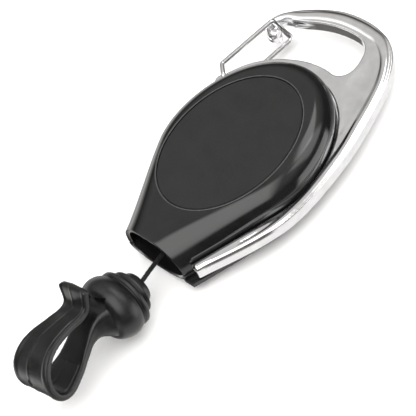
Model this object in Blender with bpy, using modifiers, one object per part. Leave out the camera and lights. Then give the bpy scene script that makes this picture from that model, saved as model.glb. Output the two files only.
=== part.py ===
"""Carabiner badge reel: a sprung cord reel in a two-part case, with a cast
carabiner frame round it, a wire gate, and a moulded swivel clip on the cord.

Lengths are in millimetres and are scaled to metres as each mesh is made.
The reel's axle is the Z axis, the case lies on its back on Z = 0, the hook
points along +Y and the cord leaves along -Y.
"""
import math

import bmesh
import bpy
from mathutils import Matrix, Vector

MM = 0.001
GAP = 0.3                      # clearance kept between separate pieces

# Case: plan outline
CASE_HALF_WIDTH = 21.8
CASE_TOP = 28.3                # outline's reach towards the hook
CASE_BELLY = 25.0              # lower half-axis that the taper is tangent to
MOUTH_Y = -35.1
MOUTH_HALF_WIDTH = 9.9
# Case: heights
CASE_HEIGHT = 16.2
PARTING_Z = 5.8
WALL = 1.4
FRONT_ROUND = 5.6              # radius of the front shoulder
REAR_ROUND = 4.2

# Screws through the back
SCREW_PLACES = [(-8.6, -22.6), (8.6, -22.6), (0.0, 22.8)]
BOSS_RADIUS = 2.3
SCREW_RADIUS = 1.0

# Front label
LABEL_Y = -2.0
LABEL_HALF_WIDTH = 16.2
LABEL_HALF_LENGTH = 21.8
LABEL_THICKNESS = 0.4
LABEL_RECESS = 0.75

# Carabiner frame
FRAME_Z = 7.0
FRAME_THICKNESS = 4.6
FRAME_EDGE = 0.8
TONGUE_DEPTH = 0.9             # how far the frame's tongue enters the case wall
TONGUE_THICKNESS = 0.8

# Wire gate
WIRE_RADIUS = 0.7
GATE_PIVOT = (-20.5, 16.2)
GATE_LEG_Z = 3.4               # height of each leg above and below FRAME_Z
PIVOT_PIN_DEPTH = 1.6

# Reel
AXLE_RADIUS = 2.2
SPOOL_BOTTOM = 3.2
SPOOL_TOP = 12.8
SPOOL_RADIUS = 16.0
DRUM_RADIUS = 11.0
DRUM_WALL = 1.0
WINDING_RADIUS = 13.6
CORD_RADIUS = 0.55
CORD_Z = 8.0

# Clip: s runs from the collar's top face towards the loop
CLIP_TOP = (3.1, -43.8, 8.0)
CLIP_YAW = math.radians(-2.8)
CLIP_PITCH = math.radians(12.3)
CLIP_ROLL = math.radians(-13.5)
RING_RADIUS = 7.8
COLLAR_RADIUS = 6.1
RIBBON_THICKNESS = 1.9
# Ribbon of the gripping loop: (s, height above the axis, width) along its middle
STRAP_PATH = [(9.6, -4.6, 9.0), (13.4, -2.6, 8.0), (18.1, 0.4, 7.4), (22.7, -1.9, 8.3),
              (26.8, -4.0, 10.3), (31.4, -5.3, 12.4), (34.6, -3.9, 13.4), (35.6, -1.2, 13.5)]
ARM_PATH = [(35.8, 0.0, 13.5), (35.0, 3.1, 13.0), (32.6, 5.8, 11.9), (29.0, 7.2, 10.5),
            (23.7, 7.4, 8.6), (19.6, 7.3, 8.2), (17.2, 8.6, 8.4), (16.2, 12.2, 9.8)]


# ---------------------------------------------------------------- scene

def clear_scene():
    for obj in list(bpy.data.objects):
        bpy.data.objects.remove(obj, do_unlink=True)


def new_collection(name):
    group = bpy.data.collections.new(name)
    bpy.context.scene.collection.children.link(group)
    return group


def principled(name, colour, roughness, metallic=0.0):
    material = bpy.data.materials.new(name)
    material.use_nodes = True
    shader = material.node_tree.nodes["Principled BSDF"]
    shader.inputs["Base Color"].default_value = (*colour, 1.0)
    shader.inputs["Roughness"].default_value = roughness
    shader.inputs["Metallic"].default_value = metallic
    material.diffuse_color = (*colour, 1.0)
    return material


def add_object(name, mesh, group, material=None, parent=None):
    obj = bpy.data.objects.new(name, mesh)
    group.objects.link(obj)
    if material:
        mesh.materials.append(material)
    obj.parent = parent
    return obj


def add_empty(name, group, location):
    empty = bpy.data.objects.new(name, None)
    empty.empty_display_size = 5 * MM
    group.objects.link(empty)
    empty.location = Vector(location) * MM
    return empty


def hide_cutter(obj):
    obj.hide_render = True
    obj.display_type = "WIRE"


def boolean(target, tool, operation):
    modifier = target.modifiers.new(operation.lower(), "BOOLEAN")
    modifier.operation = operation
    modifier.object = tool
    modifier.solver = "EXACT"
    hide_cutter(tool)


def mesh_from(bm, name, smooth_degrees=35.0):
    mesh = bpy.data.meshes.new(name)
    bmesh.ops.recalc_face_normals(bm, faces=bm.faces)
    bm.to_mesh(mesh)
    bm.free()
    mesh.shade_smooth()
    mesh.set_sharp_from_angle(angle=math.radians(smooth_degrees))
    return mesh


# ---------------------------------------------------------------- shapes

def cylinder(name, radius, low, high, segments=32, taper=None):
    """Upright cylinder, or a cone frustum, between two heights."""
    bm = bmesh.new()
    bmesh.ops.create_cone(
        bm, cap_ends=True, segments=segments, depth=(high - low) * MM,
        radius1=radius * MM, radius2=(radius if taper is None else taper) * MM)
    bmesh.ops.translate(bm, verts=bm.verts, vec=(0, 0, (low + high) / 2 * MM))
    return mesh_from(bm, name)


def turned(name, profile, group, material, segments=48, parent=None):
    """Ring or cup: a closed (radius, height) profile turned about Z."""
    mesh = bpy.data.meshes.new(name)
    points = [(r * MM, 0.0, z * MM) for r, z in profile]
    edges = [(i, (i + 1) % len(points)) for i in range(len(points))]
    mesh.from_pydata(points, edges, [])
    obj = add_object(name, mesh, group, material, parent)
    screw = obj.modifiers.new("turn", "SCREW")
    screw.axis = "Z"
    screw.steps = segments
    screw.render_steps = segments
    screw.use_merge_vertices = True
    screw.merge_threshold = 0.00002
    screw.use_smooth_shade = True
    return obj


def flat_plate(name, outline, low, high, group, edge=0.0):
    """Extruded outline as a mesh, with its edges rounded by `edge`."""
    curve = bpy.data.curves.new(name, "CURVE")
    curve.dimensions = "2D"
    curve.fill_mode = "BOTH"
    spline = curve.splines.new("POLY")
    spline.points.add(len(outline) - 1)
    for point, (x, y) in zip(spline.points, outline):
        point.co = (x * MM, y * MM, 0.0, 1.0)
    spline.use_cyclic_u = True
    curve.extrude = ((high - low) / 2 - edge) * MM
    curve.bevel_depth = edge * MM
    curve.bevel_resolution = 1
    curve.offset = -edge * MM
    source = bpy.data.objects.new(name, curve)
    group.objects.link(source)
    source.location = (0, 0, (low + high) / 2 * MM)
    return curve_to_mesh(source, group)


def curve_to_mesh(source, group):
    """Replace a curve object by its welded mesh."""
    bpy.context.view_layer.update()
    evaluated = source.evaluated_get(bpy.context.evaluated_depsgraph_get())
    mesh = bpy.data.meshes.new_from_object(evaluated)
    bm = bmesh.new()
    bm.from_mesh(mesh)
    bmesh.ops.remove_doubles(bm, verts=bm.verts, dist=0.000005)
    bmesh.ops.recalc_face_normals(bm, faces=bm.faces)
    bm.to_mesh(mesh)
    bm.free()
    name = source.name
    matrix = source.matrix_world.copy()
    bpy.data.objects.remove(source, do_unlink=True)
    obj = bpy.data.objects.new(name, mesh)
    group.objects.link(obj)
    obj.matrix_world = matrix
    return obj


def tube(name, points, radius, group, material, parent=None, resolution=2):
    """Round wire or cord through a list of points."""
    curve = bpy.data.curves.new(name, "CURVE")
    curve.dimensions = "3D"
    curve.bevel_depth = radius * MM
    curve.bevel_resolution = resolution
    curve.use_fill_caps = True
    spline = curve.splines.new("POLY")
    spline.points.add(len(points) - 1)
    for point, co in zip(spline.points, points):
        point.co = (*[c * MM for c in co], 1.0)
    curve.materials.append(material)
    obj = bpy.data.objects.new(name, curve)
    group.objects.link(obj)
    obj.parent = parent
    return obj


def smooth_path(points, steps):
    """Catmull-Rom curve through a list of points, sampled evenly."""
    ends = [2 * Vector(points[0]) - Vector(points[1])]
    knots = ends + [Vector(p) for p in points] + [2 * Vector(points[-1]) - Vector(points[-2])]
    path = []
    for a, b, c, d in zip(knots, knots[1:], knots[2:], knots[3:]):
        for k in range(steps):
            t = k / steps
            path.append(0.5 * (2 * b + (c - a) * t + (2 * a - 5 * b + 4 * c - d) * t ** 2
                               + (3 * b - a - 3 * c + d) * t ** 3))
    path.append(Vector(points[-1]))
    return [tuple(p) for p in path]


def rounded_corners(points, radius, steps=5):
    """Path of straight runs whose corners are turned at a bend radius."""
    path = [Vector(points[0])]
    for before, corner, after in zip(points, points[1:], points[2:]):
        corner = Vector(corner)
        into = (corner - Vector(before)).normalized()
        out = (Vector(after) - corner).normalized()
        turn = into.angle(out)
        reach = radius * math.tan(turn / 2)
        start = corner - into * reach
        centre = start + (out - into * into.dot(out)).normalized() * radius
        axis = into.cross(out).normalized()
        for k in range(steps + 1):
            swing = Matrix.Rotation(turn * k / steps, 3, axis)
            path.append(centre + swing @ (start - centre))
    path.append(Vector(points[-1]))
    return [tuple(p) for p in path]


# ---------------------------------------------------------------- case outline

def taper_tangent():
    """Angle on the lower ellipse where a line from the mouth corner touches it."""
    a = CASE_HALF_WIDTH
    b = CASE_BELLY
    reach = math.hypot(b * MOUTH_HALF_WIDTH, a * MOUTH_Y)
    lean = math.atan2(-a * MOUTH_Y, b * MOUTH_HALF_WIDTH)
    return lean - math.acos(a * b / reach)


def case_point(angle, grow=0.0):
    """Point and outward normal on the case's elliptical outline."""
    b = CASE_TOP if math.sin(angle) > 0 else CASE_BELLY
    point = Vector((CASE_HALF_WIDTH * math.cos(angle), b * math.sin(angle)))
    normal = Vector((math.cos(angle) / CASE_HALF_WIDTH, math.sin(angle) / b)).normalized()
    return point + normal * grow, normal


def case_side(grow=0.0, end_y=MOUTH_Y, arc_steps=16):
    """Right half of the outline, from the mouth up to the top."""
    touch = taper_tangent()
    start, normal = case_point(-touch, grow)
    along = Vector((normal.y, -normal.x))
    run = (start.y - end_y) / -along.y
    end = start + along * run
    points = [end.lerp(start, k / 4) for k in range(4)]
    span = math.pi / 2 + touch
    points += [case_point(-touch + span * k / arc_steps, grow)[0] for k in range(arc_steps + 1)]
    return [(p.x, p.y) for p in points]


def case_outline(grow=0.0):
    """Whole outline, from the left mouth corner over the top to the right one."""
    right = case_side(grow)
    left = [(-x, y) for x, y in right]
    return left[:-1] + right[::-1]


def mouth_share(y):
    """0 on the round part of the case, 1 at the mouth."""
    share = (y + 8.0) / (MOUTH_Y + 8.0)
    share = min(max(share, 0.0), 1.0)
    return share * share * (3 - 2 * share)


def shell_surface(name, parting, face, body_round, mouth_round, mouth_height):
    """Open dish: wall, shoulder and flat face, open at the rim and the mouth."""
    sign = 1 if face > parting else -1
    outer = case_outline()
    steps = 6
    rings = [[Vector((x, y, parting)) for x, y in outer]]
    for k in range(steps + 1):
        angle = math.pi / 2 * k / steps
        ring = []
        for x, y in outer:
            share = mouth_share(y)
            across = body_round + (mouth_round - body_round) * share
            height = body_round + (mouth_height - body_round) * share
            inset = case_outline_point(x, y, -across * (1 - math.cos(angle)))
            ring.append(Vector((*inset, face - sign * height * (1 - math.sin(angle)))))
        rings.append(ring)
    bm = bmesh.new()
    rows = [[bm.verts.new(p * MM) for p in ring] for ring in rings]
    for low, high in zip(rows, rows[1:]):
        for i in range(len(outer) - 1):
            bm.faces.new((low[i], low[i + 1], high[i + 1], high[i]))
    bm.faces.new(rows[-1])
    bmesh.ops.recalc_face_normals(bm, faces=bm.faces)
    flat = max(bm.faces, key=lambda f: len(f.verts))
    if flat.normal.z * sign < 0:
        bmesh.ops.reverse_faces(bm, faces=bm.faces)
    mesh = bpy.data.meshes.new(name)
    bm.to_mesh(mesh)
    bm.free()
    mesh.shade_smooth()
    mesh.set_sharp_from_angle(angle=math.radians(40))
    return mesh


def case_outline_point(x, y, grow):
    """Move an outline point along its normal, and keep mouth points on the mouth's plane."""
    touch = taper_tangent()
    side = 1 if x >= 0 else -1
    edge, normal = case_point(-touch)
    if y <= edge.y + 1e-6:
        return (x + side * grow / normal.x, y)
    b = CASE_TOP if y > 0 else CASE_BELLY
    angle = math.atan2(y / b, abs(x) / CASE_HALF_WIDTH)
    point, _ = case_point(angle, grow)
    return (side * point.x, point.y)


# ---------------------------------------------------------------- case pieces

def side_band(name, inner, outer, low, high, group):
    """Band that follows the case from the right of the mouth to the gate's lug."""
    touch = taper_tangent()
    last = math.pi - math.atan2(10.0 / CASE_TOP, 0.93)
    count = 30
    near = [case_side(inner, -32.6)[0]]
    far = [case_side(outer, -32.6)[0]]
    for k in range(count + 1):
        angle = -touch + (last + touch) * k / count
        near.append(tuple(case_point(angle, inner)[0]))
        far.append(tuple(case_point(angle, outer)[0]))
    return flat_plate(name, near + far[::-1], low, high, group)


def make_front_shell(parts, cutters, material):
    mesh = shell_surface("front_shell", PARTING_Z + GAP / 2, CASE_HEIGHT, FRONT_ROUND, 9.0, 9.6)
    obj = add_object("front_shell", mesh, parts, material)
    solid = obj.modifiers.new("wall", "SOLIDIFY")
    solid.thickness = WALL * MM
    solid.offset = -1.0
    recess = add_object("label_recess", label_mesh("label_recess", GAP, 0.0, 3.0), cutters)
    recess.location = (0, LABEL_Y * MM, (CASE_HEIGHT - LABEL_RECESS) * MM)
    boolean(obj, recess, "DIFFERENCE")
    for i, (x, y) in enumerate(SCREW_PLACES, 1):
        boss = cylinder(f"front_boss_{i}", BOSS_RADIUS, PARTING_Z + 1.0, CASE_HEIGHT - 1.0, 20)
        hole = cylinder(f"front_pilot_{i}", SCREW_RADIUS + GAP, PARTING_Z - 1, 12.0, 16)
        for mesh, operation in ((boss, "UNION"), (hole, "DIFFERENCE")):
            tool = add_object(mesh.name, mesh, cutters)
            tool.location = (x * MM, y * MM, 0)
            boolean(obj, tool, operation)
    for mesh, operation in axle_seat("front", 14.0, 15.1, 13.5, 14.7):
        boolean(obj, add_object(mesh.name, mesh, cutters), operation)
    low = PARTING_Z - GAP
    high = PARTING_Z + TONGUE_THICKNESS + GAP
    groove = side_band("front_groove", -TONGUE_DEPTH - GAP, 1.0, low, high, cutters)
    boolean(obj, groove, "DIFFERENCE")
    return obj


def make_rear_shell(parts, cutters, material):
    mesh = shell_surface("rear_shell", PARTING_Z - GAP / 2, 0.0, REAR_ROUND, 9.0, 5.3)
    obj = add_object("rear_shell", mesh, parts, material)
    solid = obj.modifiers.new("wall", "SOLIDIFY")
    solid.thickness = WALL * MM
    solid.offset = -1.0
    ledge = flat_plate("rear_ledge", ledge_outline(), 2.9, 4.2, cutters)
    boolean(obj, ledge, "UNION")
    for i, (x, y) in enumerate(SCREW_PLACES, 1):
        boss = cylinder(f"rear_boss_{i}", BOSS_RADIUS, 0.7, PARTING_Z + 0.6, 20)
        hole = cylinder(f"rear_hole_{i}", SCREW_RADIUS + GAP, -1.0, 9.0, 16)
        head = cylinder(f"rear_counterbore_{i}", 1.75 + GAP, -1.0, 1.9, 20)
        for mesh, operation in ((boss, "UNION"), (hole, "DIFFERENCE"), (head, "DIFFERENCE")):
            tool = add_object(mesh.name, mesh, cutters)
            tool.location = (x * MM, y * MM, 0)
            boolean(obj, tool, operation)
    for mesh, operation in axle_seat("rear", 0.7, 2.4, 0.9, 3.0):
        boolean(obj, add_object(mesh.name, mesh, cutters), operation)
    return obj


def axle_seat(side, boss_low, boss_high, hole_low, hole_high):
    """Boss with a blind hole that takes one end of the axle."""
    boss = cylinder(f"{side}_axle_boss", AXLE_RADIUS + 1.5, boss_low, boss_high, 24)
    hole = cylinder(f"{side}_axle_hole", AXLE_RADIUS + GAP, hole_low, hole_high, 24)
    return (boss, "UNION"), (hole, "DIFFERENCE")


def ledge_outline():
    """Ledge that the frame's lower end lies on, outside the case wall."""
    reach = 2.3
    inner = case_side(-0.7)[:8]
    outer = case_side(reach)[:8]
    outer = [((x * (7 - i) + inner[7][0] * i) / 7 if i > 4 else x, y)
             for i, (x, y) in enumerate(outer)]
    return inner + outer[::-1]


def label_mesh(name, grow, low, high):
    bm = bmesh.new()
    bmesh.ops.create_cone(bm, cap_ends=True, segments=56, radius1=1.0, radius2=1.0,
                          depth=(high - low) * MM)
    bmesh.ops.scale(bm, verts=bm.verts,
                    vec=((LABEL_HALF_WIDTH + grow) * MM, (LABEL_HALF_LENGTH + grow) * MM, 1.0))
    bmesh.ops.translate(bm, verts=bm.verts, vec=(0, 0, (low + high) / 2 * MM))
    return mesh_from(bm, name)


def make_label(parts, material):
    obj = add_object("front_label", label_mesh("front_label", 0.0, 0.0, LABEL_THICKNESS),
                     parts, material)
    obj.location = (0, LABEL_Y * MM, (CASE_HEIGHT - LABEL_RECESS + GAP) * MM)
    return obj


# ---------------------------------------------------------------- frame and gate

def frame_outline():
    """Carabiner frame in plan: spine, hook, nose with its notch, and rim."""
    spine_and_hook = [
        (13.6, -33.4), (20.2, -19.6), (23.2, -12.8), (24.6, -6.0), (24.9, 2.0), (24.2, 13.5),
        (22.8, 22.0), (21.0, 30.0), (19.0, 37.0), (15.6, 43.4), (11.2, 47.6), (5.2, 50.0),
        (-1.0, 50.8), (-7.0, 50.3), (-13.4, 48.0), (-18.6, 45.0), (-22.0, 41.9)]
    nose = [
        (-23.6, 39.2), (-23.6, 36.4), (-22.0, 34.5), (-19.8, 34.3), (-18.4, 35.4),
        (-18.5, 36.9), (-20.6, 37.1), (-21.8, 38.2), (-21.7, 39.9), (-20.4, 41.0), (-17.8, 41.4)]
    opening = [
        (-14.2, 42.6), (-10.0, 44.2), (-5.0, 45.3), (0.6, 45.4), (4.4, 44.5), (6.9, 42.4),
        (8.1, 39.4), (8.5, 35.6), (7.4, 32.9), (5.2, 31.7), (2.0, 32.2), (-2.0, 32.2),
        (-6.4, 31.3), (-12.3, 29.0)]
    lug = [(-17.6, 24.8), (-21.4, 20.0), (-23.2, 16.0), (-23.4, 12.6), (-22.6, 10.0)]
    last = math.pi - math.atan2(10.0 / CASE_TOP, 0.93)
    touch = taper_tangent()
    wall = [tuple(case_point(last - (last + touch) * k / 28, GAP)[0]) for k in range(29)]
    wall.append(case_side(GAP, -32.6)[0])
    return spine_and_hook + nose + opening + lug + wall


def make_frame(parts, cutters, material):
    low = FRAME_Z - FRAME_THICKNESS / 2
    high = FRAME_Z + FRAME_THICKNESS / 2
    obj = flat_plate("carabiner_frame", frame_outline(), low, high, parts, FRAME_EDGE)
    obj.data.materials.clear()
    obj.data.materials.append(material)
    tongue = side_band("frame_tongue", -TONGUE_DEPTH, 1.4, PARTING_Z,
                       PARTING_Z + TONGUE_THICKNESS, cutters)
    boolean(obj, tongue, "UNION")
    for i, (start, end) in enumerate(((low - 1, low + PIVOT_PIN_DEPTH + GAP),
                                      (high - PIVOT_PIN_DEPTH - GAP, high + 1)), 1):
        mesh = cylinder(f"gate_hole_{i}", WIRE_RADIUS + GAP, start, end, 16)
        hole = add_object(mesh.name, mesh, cutters)
        hole.location = (GATE_PIVOT[0] * MM, GATE_PIVOT[1] * MM, 0)
        boolean(obj, hole, "DIFFERENCE")
    return obj


def make_gate(parts, material):
    """Bent wire loop, drawn about its own pivot axis."""
    pivot = add_empty("gate_pivot", parts, (*GATE_PIVOT, 0.0))
    knee = (-3.3, 3.1)         # the front leg stands out, the rear leg runs straight
    front_tip = (-0.7, 21.5)
    rear_tip = (3.2, 23.0)
    top = FRAME_Z + GATE_LEG_Z
    bottom = FRAME_Z - GATE_LEG_Z
    pin_end = FRAME_THICKNESS / 2 - PIVOT_PIN_DEPTH
    corners = [
        (0.0, 0.0, FRAME_Z + pin_end), (0.0, 0.0, top), (*knee, top), (*front_tip, top),
        (*rear_tip, bottom), (0.0, 0.0, bottom), (0.0, 0.0, FRAME_Z - pin_end)]
    path = rounded_corners(corners, 1.0, 4)
    return tube("wire_gate", path, WIRE_RADIUS, parts, material, pivot, 2)


# ---------------------------------------------------------------- reel

def make_axle(parts, cutters, material):
    """Fixed post; its slot holds the inner end of the power spring."""
    mesh = cylinder("spool_axle", AXLE_RADIUS, 1.2, 14.4, 24)
    obj = add_object("spool_axle", mesh, parts, material)
    slot = cylinder("axle_slot", 0.5, SPOOL_BOTTOM + 1.2, SPOOL_TOP - 1.2, 4)
    tool = add_object("axle_slot", slot, cutters)
    tool.location = (AXLE_RADIUS * MM, 0, 0)
    boolean(obj, tool, "DIFFERENCE")
    return obj


def make_screw(name, x, y, head_radius, head_low, head_high, tip, parts, material):
    profile = [(0.0, tip), (SCREW_RADIUS * 0.7, tip), (SCREW_RADIUS, tip - 0.8),
               (SCREW_RADIUS, head_high), (head_radius, head_high), (head_radius, head_low),
               (0.0, head_low)]
    mesh = bpy.data.meshes.new(name)
    mesh.from_pydata([(r * MM, 0, z * MM) for r, z in profile],
                     [(i, i + 1) for i in range(len(profile) - 1)], [])
    obj = add_object(name, mesh, parts, material)
    screw = obj.modifiers.new("turn", "SCREW")
    screw.steps = 20
    screw.render_steps = 20
    screw.use_merge_vertices = True
    screw.merge_threshold = 0.00002
    screw.use_smooth_shade = True
    obj.location = (x * MM, y * MM, 0)
    return obj


def make_spool(parts, material):
    """Drum with two flanges; the power spring lies in its cup."""
    inner = DRUM_RADIUS - DRUM_WALL
    bore = AXLE_RADIUS + GAP
    flange = 0.9
    profile = [
        (bore, SPOOL_BOTTOM), (bore, SPOOL_BOTTOM + 1.0), (inner, SPOOL_BOTTOM + 1.0),
        (inner, SPOOL_TOP), (SPOOL_RADIUS, SPOOL_TOP), (SPOOL_RADIUS, SPOOL_TOP - flange),
        (DRUM_RADIUS, SPOOL_TOP - flange), (DRUM_RADIUS, SPOOL_BOTTOM + flange),
        (SPOOL_RADIUS, SPOOL_BOTTOM + flange), (SPOOL_RADIUS, SPOOL_BOTTOM)]
    return turned("spool", profile, parts, material, 48)


def make_ring(name, inner, outer, low, high, parts, material, segments=40):
    profile = [(outer, high), (outer, low), (inner, low), (inner, high)]
    return turned(name, profile, parts, material, segments)


def make_power_spring(parts, material):
    """Flat spiral band between the axle's slot and the drum's wall."""
    first = AXLE_RADIUS + 1.0
    last = DRUM_RADIUS - DRUM_WALL - 0.6
    turns = 5.0
    per_turn = 22
    half = 0.2
    count = int(turns * per_turn)
    outer = []
    inner = []
    for k in range(count + 1):
        angle = 2 * math.pi * k / per_turn
        radius = first + (last - first) * k / count
        direction = Vector((math.cos(angle), math.sin(angle)))
        outer.append(tuple(direction * (radius + half)))
        inner.append(tuple(direction * (radius - half)))
    obj = flat_plate("power_spring", outer + inner[::-1], SPOOL_BOTTOM + 1.6,
                     SPOOL_TOP - 1.4, parts)
    obj.data.materials.append(material)
    return obj


def cord_route():
    """From the winding, through the guide, to the knot in the clip's collar."""
    leave = math.radians(-25.0)
    radius = WINDING_RADIUS + GAP + CORD_RADIUS
    start = (radius * math.cos(leave), radius * math.sin(leave), CORD_Z)
    return [start, (7.0, -17.6, 7.7), (1.8, -29.0, 7.2), (1.5, -33.0, 7.3), (2.2, -38.4, 7.7),
            (CLIP_TOP[0] - 0.05, CLIP_TOP[1] + 0.4, CLIP_TOP[2]),
            (CLIP_TOP[0] + 0.1, CLIP_TOP[1] - 2.2, CLIP_TOP[2] + 0.48)]


def make_cord_guide(parts, material):
    """Eyelet bar across the neck of the case, where the cord turns."""
    outline = [(-6.6, -28.4), (6.6, -28.4), (6.6, -30.0), (-6.6, -30.0)]
    obj = flat_plate("cord_guide", outline, 3.2, 11.6, parts)
    obj.data.materials.append(material)
    mesh = cylinder("guide_hole", CORD_RADIUS + 0.5, -3.0, 3.0, 16)
    hole = add_object("guide_hole", mesh, bpy.data.collections["cutters"])
    hole.rotation_euler = (math.radians(90), 0, 0)
    hole.location = (1.75 * MM, -29.2 * MM, 7.22 * MM)
    boolean(obj, hole, "DIFFERENCE")
    return obj


# ---------------------------------------------------------------- clip

def turned_about_cord(name, profile, parts, material, parent, segments=40):
    """Turn an (s, radius) profile about the clip's own axis."""
    obj = turned(name, [(r, -s) for s, r in profile], parts, material, segments, parent)
    obj.rotation_euler = (math.radians(-90), 0, 0)
    return obj


def make_collar(parts, material, clip):
    profile = [
        (0.0, CORD_RADIUS + 0.35), (0.0, 3.7), (0.35, 4.2), (1.8, 4.4), (2.1, COLLAR_RADIUS),
        (2.8, COLLAR_RADIUS), (3.8, 5.5), (3.8, 2.4), (1.4, 2.4), (1.4, CORD_RADIUS + 0.35)]
    return turned_about_cord("swivel_collar", profile, parts, material, clip)


def make_knot(parts, material, clip):
    bm = bmesh.new()
    bmesh.ops.create_icosphere(bm, subdivisions=2, radius=1.5 * MM)
    obj = add_object("cord_knot", mesh_from(bm, "cord_knot", 60), parts, material, clip)
    obj.location = (0, -4.1 * MM, 0)
    return obj


def bell_rings():
    """(s, radius, lift) of the bell from its top ring to its open base."""
    return [(4.1, 7.1, 0.0), (4.5, RING_RADIUS, 0.0), (5.4, RING_RADIUS, 0.0), (5.8, 7.5, 0.1),
            (6.8, 8.2, 0.3), (8.2, 8.7, 0.5), (9.8, 8.7, 0.7), (11.3, 8.2, 0.8), (12.6, 7.4, 0.8)]


def ring_face_loop(bm, s, radius, lift, segments):
    return [bm.verts.new((radius * MM * math.cos(2 * math.pi * k / segments), -s * MM,
                          (lift + radius * math.sin(2 * math.pi * k / segments)) * MM))
            for k in range(segments)]


def bridge(bm, first, second):
    count = len(first)
    for k in range(count):
        n = (k + 1) % count
        bm.faces.new((first[k], first[n], second[n], second[k]))


def make_bell_mesh():
    """Bell with a seat for the knot above and a hollow below."""
    segments = 36
    bm = bmesh.new()
    outer = [ring_face_loop(bm, *ring, segments) for ring in bell_rings()]
    hollow = [ring_face_loop(bm, s, r, 0.6, segments)
              for s, r in ((12.6, 6.0), (10.0, 5.8), (8.4, 4.2))]
    seat = [ring_face_loop(bm, s, r, 0.0, segments) for s, r in ((4.1, 2.2), (6.2, 2.2))]
    for rows in (outer, hollow, seat):
        for first, second in zip(rows, rows[1:]):
            bridge(bm, first, second)
    bridge(bm, outer[-1], hollow[0])
    bridge(bm, outer[0], seat[0])
    bm.faces.new(hollow[-1])
    bm.faces.new(seat[-1])
    return mesh_from(bm, "clip_body")


def ribbon_line(path):
    return [Vector(p) for p in smooth_path(path, 4)]


def ribbon_outline(line):
    """Closed outline of a ribbon seen edge-on, from its centre line."""
    above = []
    below = []
    for i, point in enumerate(line):
        ahead = line[min(i + 1, len(line) - 1)] - line[max(i - 1, 0)]
        normal = Vector((-ahead.y, ahead.x)).normalized() * RIBBON_THICKNESS / 2
        above.append(tuple(point.xy + normal))
        below.append(tuple(point.xy - normal))
    return above + below[::-1]


def ribbon(name, path, group):
    """Moulded ribbon in the clip's frame: edge-on outline in Y-Z, flared in X."""
    line = ribbon_line(path)
    obj = flat_plate(name, ribbon_outline(line), -1.0, 1.0, group)
    turn = Matrix(((0, 0, 1, 0), (-1, 0, 0, 0), (0, 1, 0, 0), (0, 0, 0, 1)))
    obj.data.transform(turn)
    for vertex in obj.data.vertices:
        place = Vector((-vertex.co.y, vertex.co.z)) / MM
        width = min(line, key=lambda p: (p.xy - place).length).z
        vertex.co.x = math.copysign(width / 2 * MM, vertex.co.x)
    bm = bmesh.new()
    bm.from_mesh(obj.data)
    bmesh.ops.recalc_face_normals(bm, faces=bm.faces)
    bm.to_mesh(obj.data)
    bm.free()
    return obj


def make_clip(parts, cutters, material, clip):
    body = add_object("clip_body", make_bell_mesh(), parts, material, clip)
    strap = ribbon("clip_strap", STRAP_PATH, cutters)
    strap.parent = clip
    boolean(body, strap, "UNION")
    pivot = ARM_PATH[0]
    flex = add_empty("arm_flex", parts, (0, -pivot[0], pivot[1]))
    flex.parent = clip
    arm = ribbon("clip_arm", ARM_PATH, parts)
    arm.data.transform(Matrix.Translation((0, pivot[0] * MM, -pivot[1] * MM)))
    arm.data.materials.clear()
    arm.data.materials.append(material)
    arm.parent = flex


# ---------------------------------------------------------------- assembly

def main():
    clear_scene()
    parts = new_collection("badge_reel")
    cutters = new_collection("cutters")

    gloss = principled("gloss_black_plastic", (0.012, 0.012, 0.013), 0.12)
    matte = principled("matte_label", (0.02, 0.02, 0.021), 0.6)
    chrome = principled("chrome_plate", (0.78, 0.78, 0.79), 0.07, 1.0)
    wire = principled("bright_wire", (0.62, 0.62, 0.63), 0.22, 1.0)
    steel = principled("zinc_steel", (0.5, 0.5, 0.52), 0.35, 1.0)
    spring_steel = principled("spring_steel", (0.2, 0.21, 0.24), 0.3, 1.0)
    acetal = principled("white_acetal", (0.75, 0.74, 0.7), 0.45)
    braid = principled("black_cord", (0.015, 0.015, 0.016), 0.75)
    satin = principled("satin_black_plastic", (0.02, 0.02, 0.021), 0.38)

    make_front_shell(parts, cutters, gloss)
    make_rear_shell(parts, cutters, gloss)
    make_label(parts, matte)
    make_frame(parts, cutters, chrome)
    make_gate(parts, wire)

    make_axle(parts, cutters, steel)
    for i, (x, y) in enumerate(SCREW_PLACES, 1):
        make_screw(f"shell_screw_{i}", x, y, 1.75, 0.4, 1.6, 11.0, parts, steel)
    make_spool(parts, acetal)
    make_ring("spring_cover", AXLE_RADIUS + GAP, DRUM_RADIUS - DRUM_WALL - GAP,
              SPOOL_TOP - 1.0, SPOOL_TOP - 0.2, parts, acetal)
    make_ring("thrust_washer", AXLE_RADIUS + GAP, 5.0, 2.6, SPOOL_BOTTOM - 0.1, parts, steel, 24)
    make_ring("retaining_ring", AXLE_RADIUS + 0.1, 4.4, SPOOL_TOP + 0.3, SPOOL_TOP + 0.8,
              parts, spring_steel, 24)
    make_power_spring(parts, spring_steel)
    make_ring("cord_winding", DRUM_RADIUS + GAP, WINDING_RADIUS, SPOOL_BOTTOM + 2.4,
              SPOOL_TOP - 2.4, parts, braid, 48)
    make_cord_guide(parts, acetal)
    tube("cord_run", smooth_path(cord_route(), 5), CORD_RADIUS, parts, braid)

    clip = add_empty("clip_axis", parts, CLIP_TOP)
    clip.rotation_mode = "YXZ"
    clip.rotation_euler = (-CLIP_PITCH, CLIP_ROLL, -CLIP_YAW)
    make_collar(parts, satin, clip)
    make_knot(parts, braid, clip)
    make_clip(parts, cutters, satin, clip)


main()
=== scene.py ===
"""Visual model of the carabiner badge reel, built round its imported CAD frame.

Lengths are in millimetres and scaled to metres as each mesh is made. The
spool's axis is Z, the case lies on its back on Z = 0 and the hook points +Y.
"""
import math

import bmesh
import bpy
from mathutils import Matrix, Vector


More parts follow.
